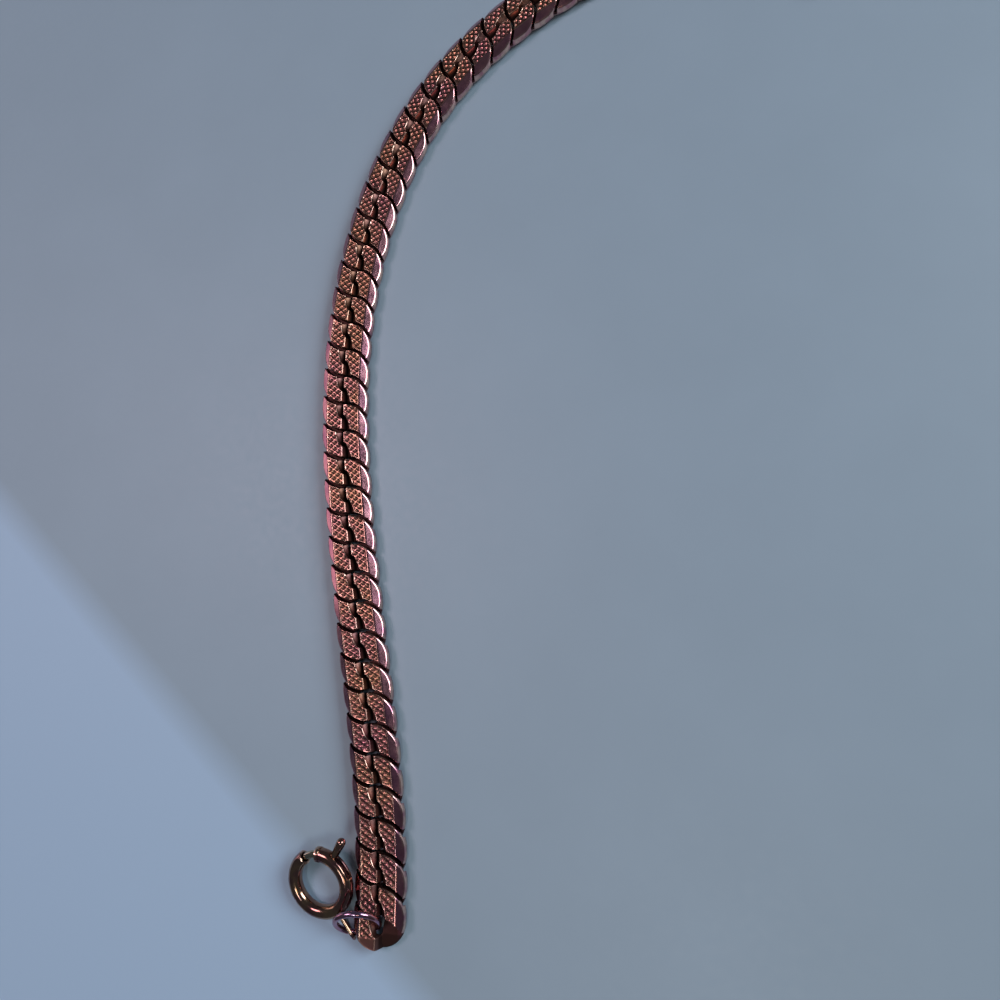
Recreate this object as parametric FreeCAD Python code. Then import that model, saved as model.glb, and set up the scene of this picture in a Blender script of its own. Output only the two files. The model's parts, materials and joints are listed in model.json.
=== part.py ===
"""A flat curb-link pocket watch chain with a spring bolt ring at one end and a T-bar at the other.

Frame: millimetres, +Z up, +Y along the longer side of the laid-out chain.  The chain lies
on the plane Z = 0, and the origin is under the middle of its bounding box.
"""
import FreeCAD, Part
import math
import os

# ---- driving dimensions, mm and degrees ----
PITCH = 3.8                    # distance between the centres of neighbouring links
LINK_COUNT = 47
LINK_WIDTH = 6.6
LINK_HEIGHT = 2.1              # over both flat faces
OUTLINE_HALF = (3.38, 3.6)     # half width and half length of a link's outline, before the sides are cut
OUTLINE_POWER = 2.3            # 2 is an ellipse, higher is squarer
HOLE_HALF = (1.0, 2.14)
HOLE_POWER = 1.7
BEVEL_WIDTH = 1.0              # sloping facet along each long edge
BEVEL_DROP = 0.6
LAP_GAP = 0.12                 # between the lapped tongues of two links
ROCK_ANGLE = 7.0               # each tongue's inner face slopes away from the middle of the lap
SEAT_GAP_LOW = 0.34            # round the next link's end, at the tongue's inner face
SEAT_GAP_TOP = 0.62            # the same, at the flat face
WEB_SLOPE = 2.4                # rise over run of the strap that crosses the hole
WEB_HALF_RISE = 0.68           # half of that strap's upright thickness

# Where the chain lies, first link to last, before it is centred
ROUTE = ((-13.15, -50.95), (-14.6, -34.8), (-17.4, -19.9), (-20.1, -5.3), (-22.1, 9.6), (-22.3, 24.9),
         (-19.9, 39.6), (-14.1, 53.6), (-3.8, 65.2), (10.0, 72.9), (25.0, 77.2), (41.0, 79.4), (58.0, 80.2))

WIRE_RADIUS = 0.36             # jump rings
JUMP_RADIUS = 2.6              # centreline of a jump ring
JUMP_LEAN = 50.0               # of the ring's plane, up from the table
JUMP_TURN = 13.0               # of the ring's level axis, from straight across the end link
JUMP_PIERCE = (-0.22, -1.2)    # where the wire goes down through the end link's hole

CASE_RADIUS = 3.65             # centreline of the bolt ring
CASE_TUBE = 0.85
CASE_BORE = 0.55
CASE_GAP = (93.0, 123.0)       # mouth of the ring, degrees round its axis
COLLAR_TUBE = 0.92
COLLAR_SWEEP = 8.0
BOLT_TUBE = 0.46
BOLT_ENTRY = 5.0               # how far the bolt's nose goes into the far side of the mouth
BOLT_TAIL = 48.0               # where the bolt ends, behind the lever
LEVER_AT = 59.0
LEVER_TRAVEL = 36.0
LEVER_RADIUS = 0.48
LEVER_TIP_RADIUS = 0.56
LEVER_REACH = 6.45             # centre of the lever's round tip, from the ring's axis
SLOT_HALF = 0.53
SPRING_STOP_AT = -48.0
SPRING_STOP_SWEEP = 10.0
SPRING_TURNS = 18
SPRING_RADIUS = 0.4
SPRING_WIRE = 0.07
TAIL_AT = -56.0                # the tail loop, degrees round the bolt ring
TAIL_REACH = 6.7               # centre of the loop's round end, from the ring's axis
TAIL_HALF = 0.9                # half width of the loop, on its centreline
TAIL_WIRE = 0.24
CLASP_TIP = 14.0               # how far the bolt ring is tipped up against the chain's edge
EYE_TILT = 50.0                # of the tail loop's plane, and of the bar's loop, about its own length

BAR_LENGTH = 24.0
BAR_RADIUS = 1.0
BAR_WAIST_RADIUS = 0.8
CAP_RADIUS = 1.35
BAR_AT = 35.0                  # from the bar's loop to the bar, degrees from straight across the last link
BAR_LOOP_RADIUS = 0.95
BAR_LOOP_WIRE = 0.3
BAR_LOOP_REACH = 2.4           # centre of the loop, from the bar's axis
BAR_COLLAR_RADIUS = 1.2
BAR_COLLAR_LENGTH = 3.0

CURVE_POINTS = 48
X_AXIS = FreeCAD.Vector(1, 0, 0)
Y_AXIS = FreeCAD.Vector(0, 1, 0)
Z_AXIS = FreeCAD.Vector(0, 0, 1)
ORIGIN = FreeCAD.Vector(0, 0, 0)


def placed(shape, at, turn=0.0, axis=Z_AXIS):
    """A copy of the shape, turned about an axis through its origin and then moved."""
    copy = shape.copy()
    copy.Placement = FreeCAD.Placement(at, FreeCAD.Rotation(axis, turn)).multiply(copy.Placement)
    return copy


def polar(radius, degrees, z=0.0):
    angle = math.radians(degrees)
    return FreeCAD.Vector(radius * math.cos(angle), radius * math.sin(angle), z)


# ---- one link, centred on its own origin, its length along Y ----

def rounded_outline(half_width, half_length, power, z=0.0, y=0.0):
    """Closed curve |x/half_width|^power + |y/half_length|^power = 1."""
    points = []
    for step in range(CURVE_POINTS):
        angle = 2 * math.pi * step / CURVE_POINTS
        across, along = math.cos(angle), math.sin(angle)
        size = (abs(across) ** power + abs(along) ** power) ** (-1 / power)
        points.append(FreeCAD.Vector(half_width * size * across, y + half_length * size * along, z))
    curve = Part.BSplineCurve()
    curve.interpolate(points, True)
    return Part.Wire(curve.toShape())


def prism_along(corners, start, direction):
    """Solid swept from a flat polygon of corners, all moved to start."""
    points = [start + corner for corner in corners]
    return Part.Face(Part.makePolygon(points + points[:1])).extrude(direction)


def bevelled_bar():
    """The long bar that a link is cut from: flat top and bottom, with sloping facets."""
    side, top, reach = LINK_WIDTH / 2, LINK_HEIGHT / 2, OUTLINE_HALF[1] + 1
    inner, shoulder = side - BEVEL_WIDTH, top - BEVEL_DROP
    profile = ((side, -shoulder), (side, shoulder), (inner, top), (-inner, top),
               (-side, shoulder), (-side, -shoulder), (-inner, -top), (inner, -top))
    corners = [FreeCAD.Vector(x, 0, z) for x, z in profile]
    return prism_along(corners, FreeCAD.Vector(0, -reach, 0), FreeCAD.Vector(0, 2 * reach, 0))


def seat_cutter():
    """What the next link's upper tongue needs cleared from this link's top face."""
    top = LINK_HEIGHT / 2 + 0.2
    lap_drop = math.tan(math.radians(ROCK_ANGLE)) * PITCH / 2
    low = -LAP_GAP / 2 - lap_drop - 0.05
    wide, long = OUTLINE_HALF
    wall = (SEAT_GAP_TOP - SEAT_GAP_LOW) / (LINK_HEIGHT / 2 + LAP_GAP / 2)
    rings = []
    for z in (low, top):
        gap = SEAT_GAP_LOW + wall * (z + LAP_GAP / 2)
        rings.append(rounded_outline(wide + gap, long + gap, OUTLINE_POWER, z, PITCH))
    seat = Part.makeLoft(rings, True, True)
    # Above the sloping strap: z > WEB_HALF_RISE + WEB_SLOPE * x
    far = 2 * LINK_WIDTH
    slope = [((z - WEB_HALF_RISE) / WEB_SLOPE, z) for z in (low - 0.1, top + 0.1)]
    outline = ((-far, slope[0][1]), slope[0], slope[1], (-far, slope[1][1]))
    corners = [FreeCAD.Vector(x, 0, z) for x, z in outline]
    strap_side = prism_along(corners, FreeCAD.Vector(0, -far, 0), FreeCAD.Vector(0, 2 * far, 0))
    # Above the crowned inner face, highest at the middle of the lap
    ridge = FreeCAD.Vector(0, PITCH / 2, -LAP_GAP / 2)
    fall = math.tan(math.radians(ROCK_ANGLE)) * far
    corners = [ridge, ridge + FreeCAD.Vector(0, far, -fall), ridge + FreeCAD.Vector(0, far, far),
               ridge + FreeCAD.Vector(0, -far, far), ridge + FreeCAD.Vector(0, -far, -fall)]
    crown = prism_along(corners, FreeCAD.Vector(-far, 0, 0), FreeCAD.Vector(2 * far, 0, 0))
    return seat.common(strap_side).common(crown)


def curb_link():
    """Oval ring whose four quarters alternate between an upper and a lower tongue."""
    half = LINK_HEIGHT / 2
    outer = rounded_outline(*OUTLINE_HALF, OUTLINE_POWER, -half)
    hole = rounded_outline(*HOLE_HALF, HOLE_POWER, -half)
    plate = Part.Face(outer).cut(Part.Face(hole)).extrude(FreeCAD.Vector(0, 0, LINK_HEIGHT))
    link = plate.common(bevelled_bar())
    cutter = seat_cutter()
    link = link.cut(cutter)
    for axis in (X_AXIS, Y_AXIS, Z_AXIS):
        link = link.cut(placed(cutter, ORIGIN, 180, axis))
    return link.Solids[0]


def link_places():
    """Centre and heading of each link, one pitch apart along a smooth curve through ROUTE.

    Each link points along the line between the centres of its two neighbours.
    """
    curve = Part.BSplineCurve()
    curve.interpolate([FreeCAD.Vector(x, y, LINK_HEIGHT / 2) for x, y in ROUTE])
    start = curve.FirstParameter
    centres = [curve.value(curve.parameterAtDistance(PITCH * index, start)) for index in range(LINK_COUNT)]
    places = []
    for index, centre in enumerate(centres):
        before = centres[max(index - 1, 0)]
        after = centres[min(index + 1, LINK_COUNT - 1)]
        along = after - before
        places.append((centre, math.degrees(math.atan2(along.y, along.x)) - 90))
    return places


# ---- the jump rings, and where they meet the end links ----

def jump_ring():
    """Ring through an end link's hole, leaning over, in that link's own flat frame.

    Its lowest point touches the table, and the wire goes down through JUMP_PIERCE.
    """
    lean = math.radians(JUMP_LEAN)
    rise = JUMP_RADIUS * math.sin(lean)
    height = WIRE_RADIUS + rise
    down = math.asin((height - LINK_HEIGHT / 2) / rise)
    level = FreeCAD.Vector(math.cos(math.radians(JUMP_TURN)), math.sin(math.radians(JUMP_TURN)), 0)
    side = FreeCAD.Vector(-level.y, level.x, 0)
    pierce = FreeCAD.Vector(*JUMP_PIERCE, 0)
    inward = JUMP_RADIUS * math.sin(down) * math.cos(lean)
    centre = pierce - level * (JUMP_RADIUS * math.cos(down)) + side * inward
    centre.z = height
    normal = side * -math.sin(lean) + Z_AXIS * math.cos(lean)
    return Part.makeTorus(JUMP_RADIUS, WIRE_RADIUS, centre, normal), centre, level, side


def far_pierce(z):
    """The other place where the jump ring's wire passes the height z, on its low side."""
    _, centre, level, side = jump_ring()
    lean = math.radians(JUMP_LEAN)
    down = math.asin((centre.z - z) / (JUMP_RADIUS * math.sin(lean)))
    inward = JUMP_RADIUS * math.sin(down) * math.cos(lean)
    spot = centre - level * (JUMP_RADIUS * math.cos(down)) - side * inward
    return FreeCAD.Vector(spot.x, spot.y, z)


# ---- the bolt ring, its axis on Z and its mid-plane at Z = 0 ----

def tube_arc(tube, start, end):
    """Part of a round ring of the given tube radius, from one angle to another."""
    arc = Part.makeTorus(CASE_RADIUS, tube, ORIGIN, Z_AXIS, -180, 180, end - start)
    return placed(arc, ORIGIN, start)


def ring_case():
    """Hollow ring with a mouth, a raised collar where the bolt comes out, and the lever's slot."""
    collar_end, far_end = CASE_GAP[0], CASE_GAP[1] - 360
    shell = tube_arc(CASE_TUBE, far_end, collar_end)
    shell = shell.fuse(tube_arc(COLLAR_TUBE, collar_end - COLLAR_SWEEP, collar_end))
    shell = shell.cut(tube_arc(CASE_BORE, far_end - 1, collar_end + 1))
    margin = 8.0
    slot_sweep = LEVER_TRAVEL + 2 * margin
    tall = 2 * SLOT_HALF
    slot = Part.makeCylinder(2 * CASE_RADIUS, tall, FreeCAD.Vector(0, 0, -SLOT_HALF), Z_AXIS, slot_sweep)
    slot = slot.cut(Part.makeCylinder(CASE_RADIUS, tall, FreeCAD.Vector(0, 0, -SLOT_HALF)))
    return shell.cut(placed(slot, ORIGIN, LEVER_AT - LEVER_TRAVEL - margin)).Solids[0]


def ring_bolt():
    return tube_arc(BOLT_TUBE, BOLT_TAIL, CASE_GAP[1] + BOLT_ENTRY)


def thumb_lever():
    """Round-ended pin standing out of the bolt through the slot."""
    root = FreeCAD.Vector(CASE_RADIUS, 0, 0)
    stem = Part.makeCylinder(LEVER_RADIUS, LEVER_REACH - CASE_RADIUS, root, X_AXIS)
    tip = Part.makeSphere(LEVER_TIP_RADIUS, FreeCAD.Vector(LEVER_REACH, 0, 0))
    lever = placed(stem.fuse(tip), ORIGIN, LEVER_AT)
    return lever.cut(ring_bolt()).Solids[0]


def bolt_spring():
    """The spring's turns, from the stop to the bolt's tail."""
    start = SPRING_STOP_AT + SPRING_STOP_SWEEP
    room = BOLT_TAIL - start
    turns = []
    for index in range(SPRING_TURNS):
        at = start + room * (index + 0.5) / SPRING_TURNS
        turn = Part.makeTorus(SPRING_RADIUS, SPRING_WIRE, ORIGIN, Y_AXIS)
        turns.append(placed(turn.translated(FreeCAD.Vector(CASE_RADIUS, 0, 0)), ORIGIN, at))
    return Part.makeCompound(turns)


def spring_stop():
    return tube_arc(CASE_BORE - 0.01, SPRING_STOP_AT, SPRING_STOP_AT + SPRING_STOP_SWEEP)


def tail_loop():
    """Long wire loop on the ring's outside, for the jump ring."""
    bend = Part.makeTorus(TAIL_HALF, TAIL_WIRE, FreeCAD.Vector(TAIL_REACH, 0, 0), Z_AXIS, -180, 180, 180)
    bend = placed(bend.translated(FreeCAD.Vector(-TAIL_REACH, 0, 0)), ORIGIN, -90)
    loop = bend.translated(FreeCAD.Vector(TAIL_REACH, 0, 0))
    for side in (-TAIL_HALF, TAIL_HALF):
        start = FreeCAD.Vector(CASE_RADIUS, side, 0)
        loop = loop.fuse(Part.makeCylinder(TAIL_WIRE, TAIL_REACH - CASE_RADIUS, start, X_AXIS))
    loop = placed(placed(loop, ORIGIN, EYE_TILT, X_AXIS), ORIGIN, TAIL_AT)
    return loop.cut(Part.makeTorus(CASE_RADIUS, CASE_TUBE)).Solids[0]


# ---- the T-bar, its axis on Y ----

def bar_rod():
    """Round rod, slimmer at the middle, ending at the caps."""
    half = BAR_LENGTH / 2 - CAP_RADIUS
    waist = BAR_COLLAR_LENGTH / 2
    profile = ((0, -half), (BAR_RADIUS, -half), (BAR_RADIUS, -half / 2), (BAR_WAIST_RADIUS, -waist),
               (BAR_WAIST_RADIUS, waist), (BAR_RADIUS, half / 2), (BAR_RADIUS, half), (0, half))
    points = [FreeCAD.Vector(x, y, 0) for x, y in profile]
    return Part.Face(Part.makePolygon(points + points[:1])).revolve(ORIGIN, Y_AXIS, 360)


def bar_cap(end):
    """Ball on one end of the rod, flat where it meets the rod."""
    half = BAR_LENGTH / 2 - CAP_RADIUS
    ball = Part.makeSphere(CAP_RADIUS, FreeCAD.Vector(0, end * half, 0))
    return ball.cut(bar_rod()).Solids[0]


def bar_eye():
    """Collar round the rod's waist, with a loop on one side."""
    start = FreeCAD.Vector(0, -BAR_COLLAR_LENGTH / 2, 0)
    collar = Part.makeCylinder(BAR_COLLAR_RADIUS, BAR_COLLAR_LENGTH, start, Y_AXIS)
    ring = Part.makeTorus(BAR_LOOP_RADIUS, BAR_LOOP_WIRE)
    loop = placed(ring, FreeCAD.Vector(-BAR_LOOP_REACH, 0, 0), EYE_TILT, X_AXIS)
    return collar.fuse(loop).cut(bar_rod()).Solids[0]


# ---- the whole chain ----

def chain_parts():
    """Every sub-part by name, in the frame of ROUTE."""
    places = link_places()
    link = curb_link()
    parts = {}
    for index, (centre, turn) in enumerate(places):
        parts["curb_link_%02d" % (index + 1)] = placed(link, centre, turn)
    first, first_turn = places[0]
    last, last_turn = places[-1]
    ends = {"clasp": (first, first_turn), "bar": (last, last_turn + 180)}
    for name, (centre, turn) in ends.items():
        flat = FreeCAD.Vector(centre.x, centre.y, 0)
        parts[name + "_jump_ring"] = placed(jump_ring()[0], flat, turn)
    # The bolt ring leans on the chain's edge, with its tail loop round the jump ring.  It is tipped
    # about the level line that runs through the loop's end and touches the ring's own circle.
    hold = far_pierce(COLLAR_TUBE)
    tip_line = polar(1, TAIL_AT + 180 + math.degrees(math.asin(CASE_RADIUS / TAIL_REACH)))
    clasp = {"bolt_ring_case": ring_case(), "ring_bolt": ring_bolt(), "thumb_lever": thumb_lever(),
             "bolt_spring": bolt_spring(), "spring_stop": spring_stop(), "tail_loop": tail_loop()}
    for name, shape in clasp.items():
        local = placed(shape.translated(-polar(TAIL_REACH, TAIL_AT)), hold, -CLASP_TIP, tip_line)
        parts[name] = placed(local, FreeCAD.Vector(first.x, first.y, 0), first_turn)
    # The T-bar lies on its caps, with its loop round the other jump ring
    away = BAR_AT + 180
    spot = far_pierce(CAP_RADIUS) + polar(BAR_LOOP_REACH, away, 0)
    bar = {"t_bar_rod": bar_rod(), "t_bar_cap_left": bar_cap(-1),
           "t_bar_cap_right": bar_cap(1), "t_bar_eye": bar_eye()}
    for name, shape in bar.items():
        local = placed(shape, spot, away)
        parts[name] = placed(local, FreeCAD.Vector(last.x, last.y, 0), last_turn + 180)
    return parts


def centred(parts):
    """Move everything so that the origin is under the middle of the bounding box."""
    box = FreeCAD.BoundBox()
    for shape in parts.values():
        box.add(shape.optimalBoundingBox(False, False))
    shift = FreeCAD.Vector(-box.Center.x, -box.Center.y, 0)
    return {name: placed(shape, shift) for name, shape in parts.items()}


def main():
    os.makedirs("parts", exist_ok=True)
    for name, shape in centred(chain_parts()).items():
        shape.exportStep("parts/%s.step" % name)


main()
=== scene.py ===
"""The finished look of a flat curb-link pocket watch chain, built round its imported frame."""
import json
import math

import bpy
import numpy as np
from bpy.props import FloatProperty, FloatVectorProperty, IntProperty, PointerProperty
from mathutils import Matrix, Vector


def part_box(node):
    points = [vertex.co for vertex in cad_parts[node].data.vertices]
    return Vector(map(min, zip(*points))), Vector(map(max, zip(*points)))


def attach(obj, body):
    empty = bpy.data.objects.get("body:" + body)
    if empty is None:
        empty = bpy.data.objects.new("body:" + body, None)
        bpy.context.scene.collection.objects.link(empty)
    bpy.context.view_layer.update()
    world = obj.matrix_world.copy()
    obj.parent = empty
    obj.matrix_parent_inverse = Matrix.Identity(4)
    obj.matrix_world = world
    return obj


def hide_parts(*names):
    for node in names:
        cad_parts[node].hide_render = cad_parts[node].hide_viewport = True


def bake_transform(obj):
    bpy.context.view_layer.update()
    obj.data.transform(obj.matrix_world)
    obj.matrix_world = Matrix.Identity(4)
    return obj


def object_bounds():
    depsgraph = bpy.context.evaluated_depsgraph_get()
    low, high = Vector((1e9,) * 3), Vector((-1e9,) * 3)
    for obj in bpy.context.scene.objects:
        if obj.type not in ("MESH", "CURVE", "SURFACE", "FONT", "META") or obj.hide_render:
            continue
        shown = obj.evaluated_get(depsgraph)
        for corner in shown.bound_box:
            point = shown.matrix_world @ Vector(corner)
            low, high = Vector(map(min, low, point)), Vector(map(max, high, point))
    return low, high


bl_info = {
    "name": "Pocket Watch Chain",
    "version": (1, 0, 0),
    "blender": (4, 5, 0),
    "location": "3D View > Sidebar > Watch Chain",
    "description": "Builds a flat curb watch chain, its bolt ring and its T-bar round a fixed frame",
    "category": "Add Mesh",
}

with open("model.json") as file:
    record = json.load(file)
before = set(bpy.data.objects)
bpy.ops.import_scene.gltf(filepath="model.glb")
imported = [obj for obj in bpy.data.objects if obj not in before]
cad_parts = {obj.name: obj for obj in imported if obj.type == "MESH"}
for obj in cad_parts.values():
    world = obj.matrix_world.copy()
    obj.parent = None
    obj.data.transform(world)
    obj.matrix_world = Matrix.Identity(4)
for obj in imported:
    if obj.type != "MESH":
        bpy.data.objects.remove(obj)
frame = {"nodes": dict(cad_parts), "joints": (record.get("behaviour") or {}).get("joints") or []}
cad_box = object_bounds()
MM = 0.001
UP = np.array((0.0, 0.0, 1.0))


def box_centre(node):
    low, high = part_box(node)
    return (np.array(low) + np.array(high)) / 2


def box_size(node):
    low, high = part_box(node)
    return np.array(high) - np.array(low)


def unit(vector):
    return vector / np.linalg.norm(vector)


LINKS = sorted(name for name in frame["nodes"] if name.startswith("curb_link_"))
LINK_CENTRES = np.array([box_centre(name) for name in LINKS])
JOINTS = {joint["name"]: joint for joint in frame["joints"]}
CHAIN_PITCH = float(np.linalg.norm(np.diff(LINK_CENTRES, axis=0), axis=1).mean())
LINK_THICKNESS = float(box_size(LINKS[0])[2])


# ---- sizes and colours that a user would change ----

class ChainLinkSizes(bpy.types.PropertyGroup):
    width: FloatProperty(name="Width", description="Over a link's two long edges",
                         default=6.6 * MM, unit="LENGTH")
    thickness: FloatProperty(name="Thickness", description="Over a link's two flat faces",
                             default=LINK_THICKNESS, unit="LENGTH")
    facet_width: FloatProperty(name="Facet width", description="Sloping polished strip on each edge",
                               default=1.0 * MM, unit="LENGTH")
    facet_drop: FloatProperty(name="Facet drop", description="How far the strip falls to the edge",
                              default=0.6 * MM, unit="LENGTH")
    knurl_across: FloatProperty(name="Knurl across", description="Width of one diamond of the knurling",
                                default=1.07 * MM, unit="LENGTH")
    knurl_along: FloatProperty(name="Knurl along", description="Length of one diamond of the knurling",
                               default=0.83 * MM, unit="LENGTH")
    pit_depth: FloatProperty(name="Pit depth", description="Depth of the pits of the knurling",
                             default=0.13 * MM, unit="LENGTH")
    rim_height: FloatProperty(name="Rim height", description="Fine raised rim round each knurled flat",
                              default=0.035 * MM, unit="LENGTH")
    around: IntProperty(name="Points around", description="Mesh points round a link", default=264)
    across: IntProperty(name="Points across", description="Mesh points over a link's face", default=34)


class ClaspSizes(bpy.types.PropertyGroup):
    ring_radius: FloatProperty(name="Ring radius", description="Centreline of the bolt ring",
                               default=3.65 * MM, unit="LENGTH")
    tube_radius: FloatProperty(name="Tube radius", description="Outside of the bolt ring's tube",
                               default=0.85 * MM, unit="LENGTH")
    bore_radius: FloatProperty(name="Bore radius", description="Inside of the bolt ring's tube",
                               default=0.55 * MM, unit="LENGTH")
    bolt_radius: FloatProperty(name="Bolt radius", description="The sliding bolt",
                               default=0.46 * MM, unit="LENGTH")
    lever_radius: FloatProperty(name="Lever radius", description="The thumb lever at its round end",
                                default=0.56 * MM, unit="LENGTH")
    wire_radius: FloatProperty(name="Jump ring wire", description="Wire of the two jump rings",
                               default=0.36 * MM, unit="LENGTH")
    tail_wire: FloatProperty(name="Tail wire", description="Wire of the loop on the bolt ring",
                             default=0.232 * MM, unit="LENGTH")


class BarSizes(bpy.types.PropertyGroup):
    rod_radius: FloatProperty(name="Rod radius", description="T-bar rod beside its balls",
                              default=1.0 * MM, unit="LENGTH")
    waist_radius: FloatProperty(name="Waist radius", description="T-bar rod under its collar",
                                default=0.8 * MM, unit="LENGTH")
    ball_radius: FloatProperty(name="Ball radius", description="Balls on the rod's ends",
                               default=1.35 * MM, unit="LENGTH")
    collar_radius: FloatProperty(name="Collar radius", description="Collar that holds the loop",
                                 default=1.2 * MM, unit="LENGTH")


class ChainColours(bpy.types.PropertyGroup):
    rose: FloatVectorProperty(name="Rose plate", description="Plate on the knurled flats",
                              default=(0.35, 0.18, 0.115), subtype="COLOR", min=0, max=1)
    facet: FloatVectorProperty(name="Polished facets", description="Plate on the polished edges",
                               default=(0.56, 0.25, 0.28), subtype="COLOR", min=0, max=1)
    tarnish: FloatVectorProperty(name="Tarnish", description="Purple tarnish over the plate",
                                 default=(0.25, 0.085, 0.17), subtype="COLOR", min=0, max=1)
    # Pale gold on the link rims and outline edges: real wear plus a painted highlight line; also the
    # wear on the bolt ring's lips.
    worn_gold_and_highlight: FloatVectorProperty(name="Worn gold", description="Where the plate is rubbed on the rims",
                              default=(0.85, 0.60, 0.47), subtype="COLOR", min=0, max=1)
    # Dark colour: dirt and painted shade in the links' pits, painted shade in their gaps and seats and
    # in the bolt ring's bore and slot, and real dirt specks on the other plates.
    dirt_shade_colour: FloatVectorProperty(name="Recess dirt", description="Dark oxide in pits and gaps",
                              default=(0.030, 0.014, 0.014), subtype="COLOR", min=0, max=1)
    floor: FloatVectorProperty(name="Floor", description="Pale surface under the chain",
                               default=(0.265, 0.355, 0.425), subtype="COLOR", min=0, max=1)


class WatchChainSettings(bpy.types.PropertyGroup):
    links: PointerProperty(type=ChainLinkSizes)
    clasp: PointerProperty(type=ClaspSizes)
    bar: PointerProperty(type=BarSizes)
    colours: PointerProperty(type=ChainColours)


def settings():
    return bpy.context.scene.watch_chain


# ---- meshes ----

SHARP_ANGLE = math.radians(50)


def surface(name, rings, close_rows=False, start_pole=None, end_pole=None):
    """Closed skin over a stack of rings of points.

    Ring k and ring k+1 are joined by quads, and each ring is closed.  The stack is closed on itself,
    or each end gets one pole point and a fan of triangles.
    """
    rows, columns = rings.shape[:2]
    points = rings.reshape(-1, 3)
    row = np.arange(rows if close_rows else rows - 1)[:, None]
    column = np.arange(columns)[None, :]
    beside = (column + 1) % columns
    above = (row + 1) % rows
    quads = np.stack([row * columns + column, row * columns + beside,
                      above * columns + beside, above * columns + column], axis=-1).reshape(-1, 4)
    faces = quads.tolist()
    around = np.arange(columns)
    nearby = (around + 1) % columns
    for pole, first, turn in ((start_pole, 0, 1), (end_pole, (rows - 1) * columns, -1)):
        if pole is None:
            continue
        hub = np.full(columns, len(points))
        fan = np.stack([hub, first + nearby, first + around], axis=-1)[:, ::turn]
        faces.extend(fan.tolist())
        points = np.vstack([points, pole])
    mesh = bpy.data.meshes.new(name)
    mesh.from_pydata(points, [], faces)
    mesh.shade_smooth()
    mesh.set_sharp_from_angle(angle=SHARP_ANGLE)
    piece = bpy.data.objects.new(name, mesh)
    bpy.context.scene.collection.objects.link(piece)
    return piece


def tube(name, path, radii, normal, closed=False, sides=40):
    """Round tube: each ring is the path's point plus radius times (cos t * side + sin t * normal).

    The normal, one or one for each point, is squared to the path, and side is normal x its direction.
    """
    normal = np.broadcast_to(normal, path.shape)
    if closed:
        ahead = np.roll(path, -1, axis=0) - np.roll(path, 1, axis=0)
    else:
        ahead = np.gradient(path, axis=0)
    ahead = ahead / np.linalg.norm(ahead, axis=1, keepdims=True)
    normal = normal - (normal * ahead).sum(axis=1, keepdims=True) * ahead
    normal = normal / np.linalg.norm(normal, axis=1, keepdims=True)
    side = np.cross(normal, ahead)
    angle = np.linspace(0, 2 * np.pi, sides, endpoint=False)
    cosine, sine = np.cos(angle)[None, :, None], np.sin(angle)[None, :, None]
    spokes = cosine * side[:, None] + sine * normal[:, None]
    rings = path[:, None, :] + np.broadcast_to(radii, len(path))[:, None, None] * spokes
    if closed:
        return surface(name, rings, close_rows=True)
    return surface(name, rings, start_pole=path[0], end_pole=path[-1])


def turned(name, centre, axis, profile, sides=64):
    """Lathe-turned piece: the profile's (place along the axis, radius) pairs carried round the axis."""
    places, radii = np.array(profile).T
    side = unit(np.cross(axis, UP + 0.01 * axis[::-1]))
    path = centre + places[:, None] * axis
    other = np.cross(axis, side)
    angle = np.linspace(0, 2 * np.pi, sides, endpoint=False)
    spokes = np.cos(angle)[:, None] * side + np.sin(angle)[:, None] * other
    rings = path[:, None, :] + radii[:, None, None] * spokes[None]
    return surface(name, rings, start_pole=path[0], end_pole=path[-1])


def add_attribute(piece, name, values):
    attribute = piece.data.attributes.new(name, "FLOAT", "POINT")
    attribute.data.foreach_set("value", np.asarray(values, np.float32).ravel())


def finish_piece(piece, body, node, material):
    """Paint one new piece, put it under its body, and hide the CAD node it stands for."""
    piece.data.materials.append(material)
    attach(piece, body)
    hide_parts(node)


# ---- one curb link ----

OUTLINE_HALF = (3.32 * MM, 3.6 * MM)
OUTLINE_POWER = 2.12
HOLE_HALF = (1.0 * MM, 2.14 * MM)
HOLE_POWER = 1.7
LEAN_OVER = 0.55 * MM             # how far each leaf leans over the strap that passes through the hole
LAP_GAP = 0.12 * MM
LAP_FALL = math.tan(math.radians(7.0))
SEAT_GAP = (0.33 * MM, 0.42 * MM)      # round the next link's end: at the lap, and at the flat face
WEB_SLOPE = 2.4
WEB_HALF_RISE = 0.68 * MM
EDGE_ROUND = 0.15 * MM
CORNER_BLEND = 0.05 * MM
FACET_BLEND = 0.03 * MM
OUTLINE_BLEND = 0.1 * MM
RIM_INSET = 0.075 * MM            # the raised rim's middle, from the flat's border
RIM_SPREAD = 0.05 * MM
KNURL_START = (0.10 * MM, 0.22 * MM)
STRAP_START = (2.1 * MM, 2.3 * MM)     # plain end strap of the last link, from its middle
PIT_POWER = 1.3
# Dark share at each pit's centre: partly dirt, partly painted shade.
PIT_DIRT_AND_SHADE = (0.75, 2.5)            # share and power of the dirt in each pit
# Depths below the face over which gaps, seats and hole edges are darkened: painted shade.
SHADE_DEPTH = (0.2 * MM, 0.7 * MM)
# Wear and painted highlight share: gone over the first depths, and spread in from the outline by the
# second size.
WEAR_HIGHLIGHT_DEPTH = (0.1 * MM, 0.3 * MM)
OUTLINE_WEAR_AND_HIGHLIGHT = 0.14 * MM
ROW_CROWDING = 0.25               # how much the rows of points crowd at a link's edges


def reach(x, y, half, power):
    """(|x / half width|^power + |y / half length|^power)^(1 / power), which is 1 on the outline."""
    return (np.abs(x / half[0]) ** power + np.abs(y / half[1]) ** power) ** (1 / power)


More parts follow.
